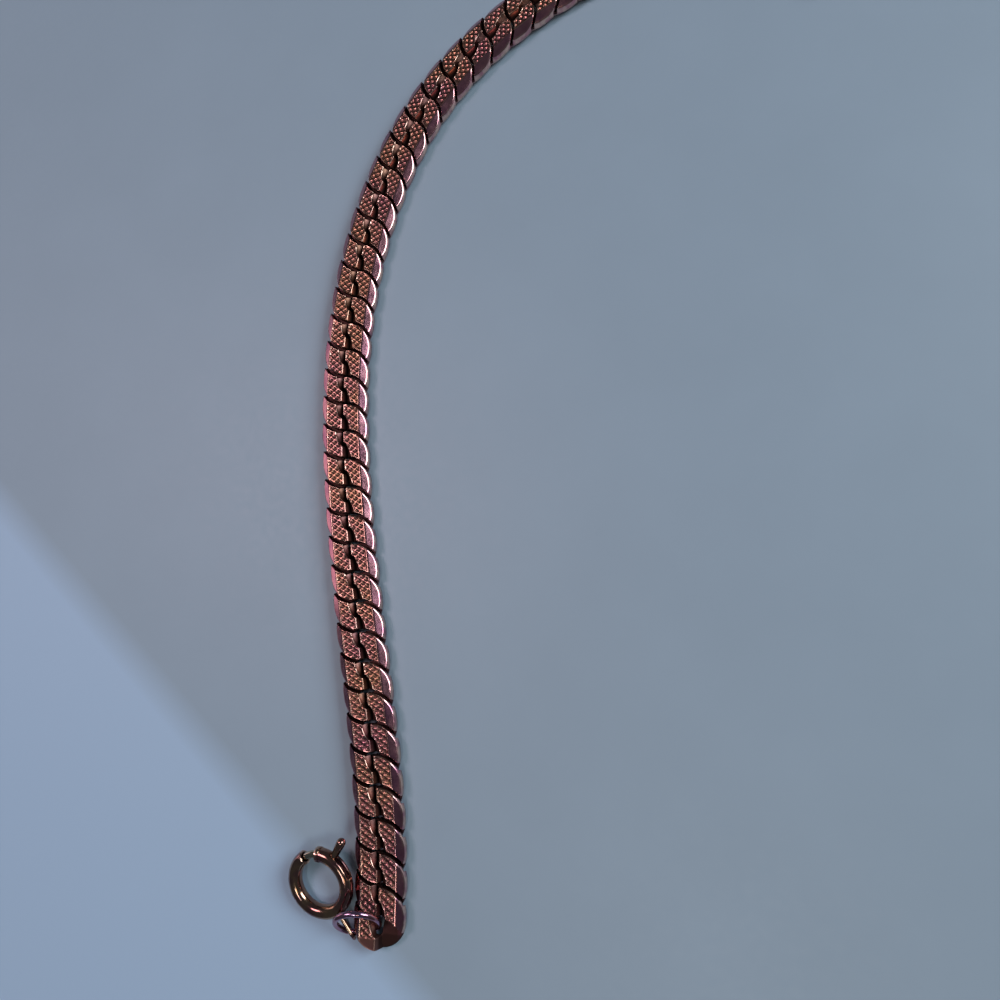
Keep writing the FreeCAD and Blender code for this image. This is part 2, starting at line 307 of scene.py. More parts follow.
def outline_radius(angle, half, power):
    return 1 / reach(np.cos(angle), np.sin(angle), half, power)


def hole_half(angle):
    """Hole's half sizes: narrower in the quarters where the leaf leans over the next link's strap."""
    leaning = smooth_step(-np.sin(2 * angle), 0.05, 0.6)
    return HOLE_HALF[0] - LEAN_OVER * leaning, HOLE_HALF[1]


def soft_min(first, second, blend=CORNER_BLEND):
    """The smaller height, with the corner between the two rounded over about the blend."""
    share = np.clip(0.5 + 0.5 * (second - first) / blend, 0, 1)
    return second + (first - second) * share - blend * share * (1 - share)


def soft_max(first, second):
    return -soft_min(-first, -second)


def eased(count):
    """Shares from 0 to 1 that crowd at both ends."""
    return 0.5 - 0.5 * np.cos(np.linspace(0, np.pi, count))


def smooth_step(value, low, high):
    share = np.clip((value - low) / (high - low), 0, 1)
    return share * share * (3 - 2 * share)


def seat(x, y, half_height):
    """Height left under the next link's tongue, and how far a point is outside that seat.

    The height is the greatest of a crowned floor, the strap that slopes across the hole, and the
    wall that follows the next link's outline.
    """
    across, along = x, y - CHAIN_PITCH
    size = reach(across, along, OUTLINE_HALF, OUTLINE_POWER)
    gap = (1 - 1 / np.maximum(size, 0.05)) * np.hypot(across, along)
    wall_run = (SEAT_GAP[1] - SEAT_GAP[0]) / (half_height + LAP_GAP / 2)
    wall = -LAP_GAP / 2 + (gap - SEAT_GAP[0]) / wall_run
    web = WEB_HALF_RISE + WEB_SLOPE * x
    floor = -LAP_GAP / 2 - LAP_FALL * np.abs(y - CHAIN_PITCH / 2)
    height = soft_max(soft_max(floor, web), wall)
    outside = np.maximum(gap - SEAT_GAP[1], x - (half_height - WEB_HALF_RISE) / WEB_SLOPE)
    return height, outside


def knurl_pits(x, y, sizes, shift):
    """Depth share |cos(pi a) * cos(pi b)|^power, with a and b = x / across +- y / along."""
    a = x / sizes.knurl_across + y / sizes.knurl_along + shift[0]
    b = x / sizes.knurl_across - y / sizes.knurl_along + shift[1]
    return np.abs(np.cos(np.pi * a) * np.cos(np.pi * b)) ** PIT_POWER


def link_face(x, y, sizes, knurl_shift, plain_end):
    """Height of a link's upper face, with its dirt and painted shade share, its polish share and its
    wear and painted highlight share.

    The face is the lowest of a flat, two edge facets and two seats.  The flat has a raised rim and
    knurled pits, and the outline and the hole have rounded edges.
    """
    half_height = sizes.thickness / 2
    side = sizes.width / 2
    seat_one, outside_one = seat(x, y, half_height)
    seat_two, outside_two = seat(-x, -y, half_height)
    radius = np.hypot(x, y)
    outline = reach(x, y, OUTLINE_HALF, OUTLINE_POWER)
    to_outline = np.minimum((1 / outline - 1) * radius, side - np.abs(x))
    to_hole = (1 - 1 / reach(x, y, hole_half(np.arctan2(y, x)), HOLE_POWER)) * radius
    facet_line = side - sizes.facet_width - np.abs(x)
    inset = np.minimum.reduce([outside_one, outside_two, to_outline, to_hole, facet_line])
    rim = np.exp(-((inset - RIM_INSET) / RIM_SPREAD) ** 2)
    strap = smooth_step(-y, *STRAP_START) * plain_end
    pit = knurl_pits(x, y, sizes, knurl_shift) * (smooth_step(inset, *KNURL_START) * (1 - strap))
    flat = half_height - sizes.rim_height * (1 - rim) - sizes.pit_depth * pit
    facet = half_height + sizes.facet_drop / sizes.facet_width * facet_line
    height = soft_min(soft_min(soft_min(flat, facet, FACET_BLEND), seat_one), seat_two)
    edge = EDGE_ROUND - np.clip(np.minimum(to_outline, to_hole), 0, EDGE_ROUND)
    height = height - (EDGE_ROUND - np.sqrt(EDGE_ROUND ** 2 - edge ** 2))
    depth = np.minimum(half_height, facet) - height
    # Dark share: dirt and painted shade at each pit's centre, painted shade in the gaps, seats and hole
    # edges, and the plain end strap darkened by half.
    pit_dirt_and_shade = PIT_DIRT_AND_SHADE[0] * pit ** PIT_DIRT_AND_SHADE[1]
    dirt_shade_share = np.clip(np.maximum(pit_dirt_and_shade, smooth_step(depth, *SHADE_DEPTH)), 0, 1)
    dirt_shade_share = np.maximum(dirt_shade_share, 0.5 * strap)
    polish = smooth_step(-facet_line, -0.03 * MM, 0.03 * MM)
    # Pale share on the rims and the outline edge: real wear plus a painted highlight line.
    wear_highlight_share = np.maximum(rim * (facet_line > -0.02 * MM), np.exp(-(to_outline / OUTLINE_WEAR_AND_HIGHLIGHT) ** 2))
    return height, dirt_shade_share, polish, wear_highlight_share * (1 - smooth_step(depth, *WEAR_HIGHLIGHT_DEPTH))


def curb_link(name, centre, along, sizes, knurl_shift, plain_end):
    """Ring of points round the hole, over the upper face and back under the lower one.

    A point stands at (hole radius + share * (outline radius - hole radius)) in the direction of its
    angle; the lower face is the upper one turned over about the link's length.
    """
    angle = np.linspace(0, 2 * np.pi, sizes.around, endpoint=False)
    side_reach = sizes.width / 2 / np.maximum(np.abs(np.cos(angle)), 1e-6)
    outer = soft_min(outline_radius(angle, OUTLINE_HALF, OUTLINE_POWER), side_reach, OUTLINE_BLEND)
    rows, extras = [], []
    for flip, count in ((1, sizes.across), (-1, sizes.across // 2)):
        crowded = eased(count)
        share = (1 - ROW_CROWDING) * np.linspace(0, 1, count) + ROW_CROWDING * crowded
        share = share[::-flip]
        inner = outline_radius(angle, hole_half(flip * angle), HOLE_POWER)
        spoke = inner + share[:, None] * (outer - inner)
        x, y = spoke * np.cos(angle), spoke * np.sin(angle)
        height, *shares = link_face(flip * x, y, sizes, knurl_shift, plain_end)
        rows.append(np.stack([x, y, flip * height], axis=-1))
        extras.append(np.stack(shares, axis=-1))
    local = np.concatenate(rows)
    across = np.cross(along, UP)
    rings = centre + local[..., :1] * across + local[..., 1:2] * along + local[..., 2:] * UP
    piece = surface(name, rings, close_rows=True)
    extras = np.concatenate(extras).reshape(-1, 3)
    for index, label in enumerate(("dirt_shade_share", "polish", "wear_highlight_share")):
        add_attribute(piece, label, extras[:, index])
    return piece


# ---- the clasp and the jump rings ----

# Angles are in degrees round the bolt ring, from the lever.
MOUTH = (34.0, 64.0)
COLLAR_SWEEP = 8.0
SLOT = (-44.0, 8.0)
SLOT_EASE = 4.0
SLOT_HALF = (0.44 * MM, 0.54 * MM)
SLOT_DEPTH = 0.2 * MM
SEAM_WIDTH = 0.07 * MM
SEAM_DEPTH = 0.02 * MM
CASE_LIP = 0.07 * MM
CASE_SIDES = 72
BOLT_TAIL = -11.0
BOLT_ENTRY = 5.0
SPRING_FOOT = -97.0
SPRING_TURNS = 18
SPRING_RADIUS = 0.4 * MM
SPRING_WIRE = 0.07 * MM
LEVER_TIP = 7.01 * MM           # round end's furthest point from the ring's axis
LEVER_NECK = 0.84               # neck's radius, as a share of the round end's
TAIL_AT = -115.0
TAIL_START = 4.02 * MM
TAIL_REACH = 6.7 * MM
TAIL_HALF = 0.9 * MM
TAIL_FLARE = (4.25 * MM, 0.22 * MM)     # swollen feet of the legs: place and spread
EYE_TILT = math.radians(50.0)


def node_points(node):
    mesh = frame["nodes"][node].data
    flat = np.empty(len(mesh.vertices) * 3)
    mesh.vertices.foreach_get("co", flat)
    return flat.reshape(-1, 3)


class ClaspFrame:
    """Centre and directions of the bolt ring: its axis, the lever's direction, and the one across."""

    def __init__(self):
        joint = JOINTS["bolt_slide_round"]
        self.centre = np.array(joint["pos_m"])
        self.axis = -unit(np.array(joint["axis"]))
        points = node_points("thumb_lever") - self.centre
        tip = points[np.linalg.norm(points, axis=1).argmax()]
        self.lever = unit(tip - self.axis * (tip @ self.axis))
        self.across = np.cross(self.axis, self.lever)

    def heading(self, degrees):
        angle = np.radians(np.asarray(degrees, float))[..., None]
        return np.cos(angle) * self.lever + np.sin(angle) * self.across


def case_profile(start, end, tube_radius, bore):
    """(degrees, tube radius) pairs: square end, plain tube, stepped collar, end, and back inside."""
    collar, lip = end - COLLAR_SWEEP, CASE_LIP
    profile = [(start, bore), (start, tube_radius - lip), (start + 0.5, tube_radius - 0.3 * lip),
               (start + 1.1, tube_radius)]
    profile += [(at, tube_radius) for at in np.linspace(start + 1.6, collar - 1.6, 300)]
    profile += [(collar - 0.9, tube_radius), (collar - 0.5, tube_radius - 0.5 * lip),
                (collar, tube_radius - 0.5 * lip), (collar + 0.1, tube_radius + 0.2 * lip),
                (collar + 0.8, tube_radius + lip), (end - 0.8, tube_radius + lip),
                (end - 0.2, tube_radius + 0.3 * lip), (end, tube_radius - lip), (end, bore)]
    return profile + [(at, bore) for at in np.linspace(end - 1, start + 1, 90)]


def case_shell(clasp, sizes):
    """Hollow ring: its profile out along the tube and back along its bore, closed on itself.

    A point is centre + ring radius * heading + tube radius * (cos t * axis + sin t * heading).  The
    lever's slot is a groove round the outer side, and a fine seam runs round the inner side.
    """
    tube_radius, bore = sizes.tube_radius, sizes.bore_radius
    start, end = MOUTH[1] - 360, MOUTH[0]
    degrees, radii = np.array(case_profile(start, end, tube_radius, bore)).T
    heading = clasp.heading(degrees)
    angle = np.linspace(0, 2 * np.pi, CASE_SIDES, endpoint=False)
    outside = smooth_step(radii, bore + 0.02 * MM, bore + 0.1 * MM)[:, None]
    in_slot = smooth_step(degrees, SLOT[0], SLOT[0] + SLOT_EASE)
    in_slot = in_slot * (1 - smooth_step(degrees, SLOT[1] - SLOT_EASE, SLOT[1]))
    from_outer = np.abs(np.sin((angle - np.pi / 2) / 2)) * 2 * tube_radius
    slot_share = in_slot[:, None] * (1 - smooth_step(from_outer, *SLOT_HALF))[None]
    from_inner = np.abs(np.sin((angle + np.pi / 2) / 2)) * 2 * tube_radius
    seam = np.exp(-(from_inner / SEAM_WIDTH) ** 2)[None]
    size = radii[:, None] - outside * (SLOT_DEPTH * slot_share + SEAM_DEPTH * seam)
    centre = clasp.centre + sizes.ring_radius * heading
    cosine, sine = np.cos(angle)[None, :, None], np.sin(angle)[None, :, None]
    spokes = cosine * clasp.axis + sine * heading[:, None]
    piece = surface("bolt_ring_shell", centre[:, None] + size[..., None] * spokes, close_rows=True)
    every_side = np.ones((1, CASE_SIDES))
    # Dark share: painted shade over the tube's bore and in the lever's slot.
    add_attribute(piece, "dirt_shade_share", np.maximum(1 - outside, slot_share * outside) * every_side)
    lip_wear = np.exp(-((degrees - end) / 1.2) ** 2) + np.exp(-((degrees - start) / 1.2) ** 2)
    add_attribute(piece, "wear_highlight_share", lip_wear[:, None] * outside * every_side)
    return piece


def rounded_ends(shares, length, radius, end_radius):
    """Radius along a rod whose ends are rounded: radius * sqrt(1 - (1 - d / r)^2) near each end."""
    near = np.minimum(shares, 1 - shares) * length
    lift = np.clip(1 - near / end_radius, 0, 1)
    return np.maximum(radius * np.sqrt(1 - lift ** 2), 0.02 * radius)


def bolt_rod(clasp, sizes):
    """Arc of a circle, radius ring radius, with a rounded nose and tail."""
    share = eased(90)
    sweep = MOUTH[1] + BOLT_ENTRY - BOLT_TAIL
    path = clasp.centre + sizes.ring_radius * clasp.heading(BOLT_TAIL + share * sweep)
    length = math.radians(sweep) * sizes.ring_radius
    radii = rounded_ends(share, length, sizes.bolt_radius, sizes.bolt_radius * 0.8)
    return tube("bolt_rod", path, radii, clasp.axis)


def lever_pin(clasp, sizes):
    """Straight pin from inside the bolt: a slim neck that swells to a round end."""
    start = sizes.ring_radius + 0.2 * MM
    share = eased(70)
    places = start + share * (LEVER_TIP - start)
    to_tip = LEVER_TIP - places
    radius = sizes.lever_radius
    swell = LEVER_NECK + (1 - LEVER_NECK) * smooth_step(places, 5.0 * MM, 6.2 * MM)
    dome = np.sqrt(np.clip(1 - np.clip(1 - to_tip / radius, 0, 1) ** 2, 0, 1))
    radii = np.maximum(radius * swell * dome, 0.01 * radius)
    path = clasp.centre + places[:, None] * clasp.lever
    return tube("lever_pin", path, radii, clasp.axis)


def tail_wire_loop(clasp, sizes):
    """Two legs and a half circle, in a plane turned about the loop's own length."""
    out = clasp.heading(TAIL_AT)
    level = np.cross(clasp.axis, out)
    across = math.cos(EYE_TILT) * level + math.sin(EYE_TILT) * clasp.axis
    normal = np.cross(out, across)
    leg = np.linspace(TAIL_START, TAIL_REACH, 24, endpoint=False)
    bend = np.linspace(-np.pi / 2, np.pi / 2, 40)
    aside = np.full(len(leg), TAIL_HALF)
    along = np.concatenate([leg, TAIL_REACH + TAIL_HALF * np.cos(bend), leg[::-1]])
    offset = np.concatenate([-aside, TAIL_HALF * np.sin(bend), aside])
    path = clasp.centre + along[:, None] * out + offset[:, None] * across
    flare = 1 + 0.5 * np.exp(-((along - TAIL_FLARE[0]) / TAIL_FLARE[1]) ** 2)
    return tube("tail_wire_loop", path, sizes.tail_wire * flare, normal, sides=28)


def coiled_spring(clasp, sizes):
    """Helix round the ring's centreline: coil radius * (cos t * axis + sin t * heading), 18 turns."""
    share = np.linspace(0, 1, SPRING_TURNS * 20 + 1)[:, None]
    heading = clasp.heading((SPRING_FOOT + 1 + share * (BOLT_TAIL - SPRING_FOOT - 2))[:, 0])
    turn = 2 * np.pi * SPRING_TURNS * share
    out = np.cos(turn) * clasp.axis + np.sin(turn) * heading
    path = clasp.centre + sizes.ring_radius * heading + SPRING_RADIUS * out
    return tube("coiled_spring", path, SPRING_WIRE, out, sides=10)


def jump_ring(name, node, sizes):
    """Full circle of wire, with a fine butt joint where its two ends meet."""
    points = node_points(node)
    centre = (points.min(0) + points.max(0)) / 2
    axis = np.linalg.svd(points - points.mean(0), full_matrices=False)[2][2]
    axis = axis * np.sign(axis[2])
    radius = np.linalg.norm(points - centre, axis=1).max() - sizes.wire_radius
    first = unit(np.cross(UP, axis))
    second = np.cross(axis, first)
    turn = np.linspace(0, 2 * np.pi, 160, endpoint=False)
    path = centre + radius * (np.cos(turn)[:, None] * first + np.sin(turn)[:, None] * second)
    from_joint = (turn - turn[100]) * radius
    radii = sizes.wire_radius * (1 - 0.16 * np.exp(-(from_joint / SEAM_WIDTH) ** 2))
    return tube(name, path, radii, axis, closed=True, sides=36)


# ---- the T-bar ----

BAR_HALF_LENGTH = 12.0 * MM
BAR_LOOP_REACH = 2.4 * MM
BAR_LOOP_RADIUS = 0.95 * MM
BAR_LOOP_WIRE = 0.3 * MM


def bead(place, half_width, low, high, count=9):
    """Half-round ridge on a turned piece."""
    angle = np.linspace(0, np.pi, count)
    return [(place - half_width * math.cos(t), low + (high - low) * math.sin(t)) for t in angle]


def rod_profile(half, sizes):
    """The rod end to end.  Each half has a spigot, a ridge, a shoulder and a taper to the waist."""
    rod, waist = sizes.rod_radius, sizes.waist_radius
    shoulder, straight = half / 2, half - 2.6 * MM
    side = [(half + 0.3 * MM, 0.5 * rod), (half - 1.0 * MM, 0.55 * rod), (half - 1.02 * MM, 0.8 * rod)]
    ridge = bead(-(half - 1.4 * MM), 0.3 * MM, 0.8 * rod, rod)[::-1]
    side += [(-place, radius) for place, radius in ridge]
    side += [(half - 1.75 * MM, 0.8 * rod), (half - 1.8 * MM, 0.98 * rod), (half - 2.3 * MM, rod)]
    side += [(shoulder + step * (straight - shoulder), rod) for step in (1, 0.5, 0)]
    for t in np.linspace(0, 1, 12)[1:]:
        side.append((shoulder + t * (1.5 * MM - shoulder), rod + (waist - rod) * t * t * (3 - 2 * t)))
    return [(-place, radius) for place, radius in side] + side[::-1]


def ball_profile(end, half, sizes):
    """Ball on one end of the rod, open towards it by the spigot's width."""
    rod, ball = sizes.rod_radius, sizes.ball_radius
    turn = np.linspace(0.02, np.pi - 0.75, 40)
    cap = [(half + ball * math.cos(t), ball * math.sin(t)) for t in turn]
    cap += [(half - 1.02 * MM, 0.75 * rod), (half - 1.1 * MM, 0.6 * rod)]
    return [(end * place, radius) for place, radius in cap][::-end]


def sleeve_profile(sizes):
    """Collar round the waist: two ridges at each side and a plain band between."""
    collar, length, bore = sizes.collar_radius, 1.5 * MM, sizes.waist_radius * 1.01
    low = collar - 0.2 * MM
    ridges = [bead(place * MM, 0.22 * MM, low, collar) for place in (-1.2, -0.72, 0.72, 1.2)]
    band = [(-0.45 * MM, collar - 0.06 * MM), (0.45 * MM, collar - 0.06 * MM)]
    sleeve = [(-length, bore), (-length, low)]
    for part in (ridges[0], ridges[1], band, ridges[2], ridges[3]):
        sleeve += part
    return sleeve + [(length, low), (length, bore)]


def bar_loop(centre, axis, sizes):
    """Circle of wire on the collar, in a plane turned about the line out to its far side."""
    points = node_points("t_bar_eye") - centre
    points = points - np.outer(points @ axis, axis)
    out = unit(points[np.linalg.norm(points, axis=1).argmax()])
    up = np.cross(out, -axis)
    lean = math.cos(EYE_TILT) * axis + math.sin(EYE_TILT) * up
    turn = np.linspace(0, 2 * np.pi, 96, endpoint=False)
    circle = np.cos(turn)[:, None] * out + np.sin(turn)[:, None] * lean
    path = centre + BAR_LOOP_REACH * out + BAR_LOOP_RADIUS * circle
    return tube("bar_loop", path, BAR_LOOP_WIRE, np.cross(out, lean), closed=True, sides=28)


def bar_pieces(sizes):
    """The rod, its two balls and the collar, all turned about the bar's axis, and the loop."""
    centre = box_centre("t_bar_rod")
    axis = unit(box_centre("t_bar_cap_right") - box_centre("t_bar_cap_left"))
    half = BAR_HALF_LENGTH - sizes.ball_radius
    yield turned("turned_bar_rod", centre, axis, rod_profile(half, sizes)), "t_bar_rod"
    for end, side in ((-1, "left"), (1, "right")):
        ball = turned("bar_ball_" + side, centre, axis, ball_profile(end, half, sizes))
        yield ball, "t_bar_cap_" + side
    yield turned("bar_collar", centre, axis, sleeve_profile(sizes)), "t_bar_eye"
    yield bar_loop(centre, axis, sizes), "t_bar_eye"


# ---- materials ----

COLOUR_INPUTS = slice(6, 8)       # the mix node's two colour inputs
COLOUR_OUTPUT = 2


class Nodes:
    """Short way to add and join shader nodes."""

    def __init__(self, name):
        self.material = bpy.data.materials.get(name) or bpy.data.materials.new(name)
        self.material.use_nodes = True
        self.tree = self.material.node_tree
        self.tree.nodes.clear()
        self.output = self.tree.nodes.new("ShaderNodeOutputMaterial")
        self.shader = self.tree.nodes.new("ShaderNodeBsdfPrincipled")
        self.join(self.shader.outputs[0], self.output.inputs["Surface"])
        self.place = self.tree.nodes.new("ShaderNodeTexCoord").outputs["Object"]

    def join(self, source, target):
        self.tree.links.new(source, target)

    def noise(self, scale, detail=3.0, stretch=None, roughness=0.55):
        node = self.tree.nodes.new("ShaderNodeTexNoise")
        node.inputs["Scale"].default_value = scale
        node.inputs["Detail"].default_value = detail
        node.inputs["Roughness"].default_value = roughness
        source = self.place
        if stretch:
            mapping = self.tree.nodes.new("ShaderNodeMapping")
            mapping.inputs["Scale"].default_value = stretch
            self.join(self.place, mapping.inputs["Vector"])
            source = mapping.outputs[0]
        self.join(source, node.inputs["Vector"])
        return node.outputs["Fac"]

    def spread(self, source, low, high, to_low=0.0, to_high=1.0):
        node = self.tree.nodes.new("ShaderNodeMapRange")
        node.inputs["From Min"].default_value = low
        node.inputs["From Max"].default_value = high
        node.inputs["To Min"].default_value = to_low
        node.inputs["To Max"].default_value = to_high
        self.join(source, node.inputs["Value"])
        return node.outputs[0]

    def sums(self, operation, first, second):
        node = self.tree.nodes.new("ShaderNodeMath")
        node.operation = operation
        node.use_clamp = True
        for value, socket in ((first, node.inputs[0]), (second, node.inputs[1])):
            if isinstance(value, (int, float)):
                socket.default_value = value
            else:
                self.join(value, socket)
        return node.outputs[0]

    def attribute(self, name):
        node = self.tree.nodes.new("ShaderNodeAttribute")
        node.attribute_name = name
        return node.outputs["Fac"]

    def mix(self, share, first, second):
        node = self.tree.nodes.new("ShaderNodeMix")
        node.data_type = "RGBA"
        self.join(share, node.inputs["Factor"])
        for value, colour in zip((first, second), node.inputs[COLOUR_INPUTS]):
            if isinstance(value, bpy.types.NodeSocket):
                self.join(value, colour)
            else:
                colour.default_value = (*value, 1)
        return node.outputs[COLOUR_OUTPUT]

    def bump(self, source, distance, strength=1.0):
        node = self.tree.nodes.new("ShaderNodeBump")
        node.inputs["Distance"].default_value = distance
        node.inputs["Strength"].default_value = strength
        self.join(source, node.inputs["Height"])
        self.join(node.outputs[0], self.shader.inputs["Normal"])


def chain_metal(colours):
    """Rose plate: knurled flats, brushed polished facets, purple tarnish, worn rims with a painted
    highlight line, and dirt and painted shade in pits and gaps.
    """
    nodes = Nodes("chain_rose_plate")
    nodes.shader.inputs["Metallic"].default_value = 1.0
    dirt_shade_share, polish, wear_highlight_share = (nodes.attribute(name) for name in ("dirt_shade_share", "polish", "wear_highlight_share"))
    clouds = nodes.spread(nodes.noise(150, 4), 0.38, 0.68)
    flat = nodes.mix(nodes.sums("MULTIPLY", clouds, 0.55), tuple(colours.rose), tuple(colours.tarnish))
    veil = nodes.spread(nodes.noise(330, 3), 0.42, 0.66)
    facet = nodes.mix(nodes.sums("MULTIPLY", veil, 0.6), tuple(colours.facet), tuple(colours.tarnish))
    colour = nodes.mix(polish, flat, facet)
    # Worn gold on rims and edges: wear plus a painted highlight line.
    rubbed_and_lit = nodes.sums("MULTIPLY", wear_highlight_share, nodes.spread(nodes.noise(900, 2), 0.35, 0.6))
    colour = nodes.mix(nodes.sums("MULTIPLY", rubbed_and_lit, 0.8), colour, tuple(colours.worn_gold_and_highlight))
    # Dark colour over the dark share: dirt and painted shade.
    colour = nodes.mix(nodes.sums("MULTIPLY", dirt_shade_share, 0.93), colour, tuple(colours.dirt_shade_colour))
    nodes.join(colour, nodes.shader.inputs["Base Color"])
    grain = nodes.spread(nodes.noise(5200, 3), 0.3, 0.7, 0.18, 0.30)
    smear = nodes.spread(nodes.noise(420, 4), 0.35, 0.7, 0.0, 0.08)
    grainy = nodes.sums("MULTIPLY", grain, nodes.spread(polish, 0, 1, 1.0, 0.5))
    rough = nodes.sums("ADD", grainy, smear)
    rough = nodes.sums("ADD", rough, nodes.sums("MULTIPLY", dirt_shade_share, 0.3))
    nodes.join(rough, nodes.shader.inputs["Roughness"])
    scratches = nodes.noise(3800, 4, stretch=(1.0, 0.14, 1.0))
    nodes.bump(scratches, 0.006 * MM, 0.3)
    return nodes.material


def polished_metal(name, base, second, dirt_shade_colour, rough_low=0.10, rough_high=0.20, worn_gold_and_highlight=None):
    """Polished plate with clouds of a second tint, faint smears and fine scratches."""
    nodes = Nodes(name)
    nodes.shader.inputs["Metallic"].default_value = 1.0
    clouds = nodes.spread(nodes.noise(420, 3), 0.4, 0.62)
    colour = nodes.mix(clouds, base, second)
    if worn_gold_and_highlight:
        # Worn colour on the rubbed lips, and painted shade from the dark share in the bore and slot.
        rubbed_and_lit = nodes.sums("MULTIPLY", nodes.attribute("wear_highlight_share"), 0.9)
        colour = nodes.mix(rubbed_and_lit, colour, worn_gold_and_highlight)
        colour = nodes.mix(nodes.sums("MULTIPLY", nodes.attribute("dirt_shade_share"), 0.95), colour, dirt_shade_colour)
    else:
        specks = nodes.spread(nodes.noise(2600, 2), 0.66, 0.74, 0, 0.6)
        colour = nodes.mix(specks, colour, dirt_shade_colour)
    nodes.join(colour, nodes.shader.inputs["Base Color"])
    rough = nodes.spread(nodes.noise(700, 4), 0.3, 0.7, rough_low, rough_high)
    nodes.join(rough, nodes.shader.inputs["Roughness"])
    nodes.bump(nodes.noise(5200, 3), 0.006 * MM, 0.5)
    return nodes.material


def steel_wire():
    """Drawn spring wire."""
    nodes = Nodes("spring_wire")
    nodes.shader.inputs["Metallic"].default_value = 1.0
    tone = nodes.spread(nodes.noise(2000, 2), 0.3, 0.7)
    colour = nodes.mix(tone, (0.50, 0.50, 0.52), (0.62, 0.62, 0.63))
    nodes.join(colour, nodes.shader.inputs["Base Color"])
    nodes.join(nodes.spread(tone, 0, 1, 0.22, 0.35), nodes.shader.inputs["Roughness"])
    return nodes.material


SHEET_EDGE = np.array((-32.8, 22.5)) * MM      # a point on the paler sheet's edge, from the last link
SHEET_NORMAL = np.array((-0.64, -0.77))
SHEET_BLEND = 2.5 * MM
SHEET_GAIN = (1.30, 1.38, 1.50)


def floor_material(colours):
    """Pale smooth surface with a faint mottle, and a paler sheet across one corner."""
    nodes = Nodes("pale_floor")
    pale = tuple(colours.floor)
    mottle = nodes.spread(nodes.noise(60, 3), 0.3, 0.7)
    ground = nodes.mix(mottle, tuple(0.96 * c for c in pale), pale)
    across = nodes.tree.nodes.new("ShaderNodeVectorMath")
    across.operation = "DOT_PRODUCT"
    across.inputs[1].default_value = (*SHEET_NORMAL, 0)
    nodes.join(nodes.place, across.inputs[0])
    edge = float((LINK_CENTRES[0][:2] + SHEET_EDGE) @ SHEET_NORMAL)
    sheet = nodes.spread(across.outputs["Value"], edge - SHEET_BLEND, edge + SHEET_BLEND)
    paler = tuple(c * gain for c, gain in zip(pale, SHEET_GAIN))
    nodes.join(nodes.mix(sheet, ground, paler), nodes.shader.inputs["Base Color"])
    grain = nodes.spread(nodes.noise(900, 3), 0.3, 0.7, 0.45, 0.55)
    nodes.join(grain, nodes.shader.inputs["Roughness"])
    nodes.bump(nodes.noise(1500, 3), 0.01 * MM, 0.25)
    return nodes.material


# ---- operators ----

def link_directions():
    """Each link points along the line between its two neighbours."""
    before = LINK_CENTRES[np.maximum(np.arange(len(LINKS)) - 1, 0)]
    after = LINK_CENTRES[np.minimum(np.arange(len(LINKS)) + 1, len(LINKS) - 1)]
    ahead = (after - before) * (1, 1, 0)
    return ahead / np.linalg.norm(ahead, axis=1, keepdims=True)


class WATCHCHAIN_OT_links(bpy.types.Operator):
    """Build every curb link with its knurling and facets"""
    bl_idname = "watch_chain.links"
    bl_label = "Curb links"

    def execute(self, context):
        sizes = settings().links
        material = chain_metal(settings().colours)
        shifts = np.random.default_rng(7)
        for node, centre, along in zip(LINKS, LINK_CENTRES, link_directions()):
            number = node[-2:]
            shift = shifts.uniform(0, 1, 2)
            last = node == LINKS[0]
            piece = curb_link("knurled_link_" + number, centre, along, sizes, shift, last)
            finish_piece(piece, "link_" + number, node, material)
        return {"FINISHED"}


class WATCHCHAIN_OT_clasp(bpy.types.Operator):
    """Build the bolt ring: its case, bolt, lever and tail loop"""
    bl_idname = "watch_chain.clasp"
    bl_label = "Bolt ring"

    def execute(self, context):
        sizes, colours = settings().clasp, settings().colours
        clasp = ClaspFrame()
        plain = [(0.38, 0.24, 0.15), (0.25, 0.12, 0.12), tuple(colours.dirt_shade_colour)]
        case_metal = polished_metal("bolt_ring_plate", *plain, worn_gold_and_highlight=tuple(colours.worn_gold_and_highlight))
        plate = polished_metal("clasp_plate", *plain)
        pale = polished_metal("bolt_plate", (0.50, 0.46, 0.34), (0.34, 0.30, 0.24), plain[2])
        for build, body, node, material in (
                (case_shell, "bolt_ring", "bolt_ring_case", case_metal),
                (tail_wire_loop, "bolt_ring", "tail_loop", plate),
                (bolt_rod, "bolt", "ring_bolt", pale),
                (lever_pin, "bolt", "thumb_lever", plate)):
            finish_piece(build(clasp, sizes), body, node, material)
        spring = coiled_spring(clasp, sizes)
        spring.data.materials.append(steel_wire())
        ends = (clasp.centre + sizes.ring_radius * clasp.heading(at) for at in (SPRING_FOOT, BOLT_TAIL))
        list(ends)
        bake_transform(spring)
        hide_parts("bolt_spring")
        stop = frame["nodes"]["spring_stop"].data
        stop.materials.clear()
        stop.materials.append(plate)
        return {"FINISHED"}


class WATCHCHAIN_OT_jump_rings(bpy.types.Operator):
    """Build the jump ring at each end of the chain"""
    bl_idname = "watch_chain.jump_rings"
    bl_label = "Jump rings"

    def execute(self, context):
        sizes, colours = settings().clasp, settings().colours
        tints = (0.42, 0.25, 0.38), (0.44, 0.20, 0.22), tuple(colours.dirt_shade_colour)
        plate = polished_metal("jump_ring_plate", *tints)
        for end in ("clasp", "bar"):
            node = end + "_jump_ring"
            piece = jump_ring(end + "_ring_wire", node, sizes)
            finish_piece(piece, node, node, plate)
        return {"FINISHED"}


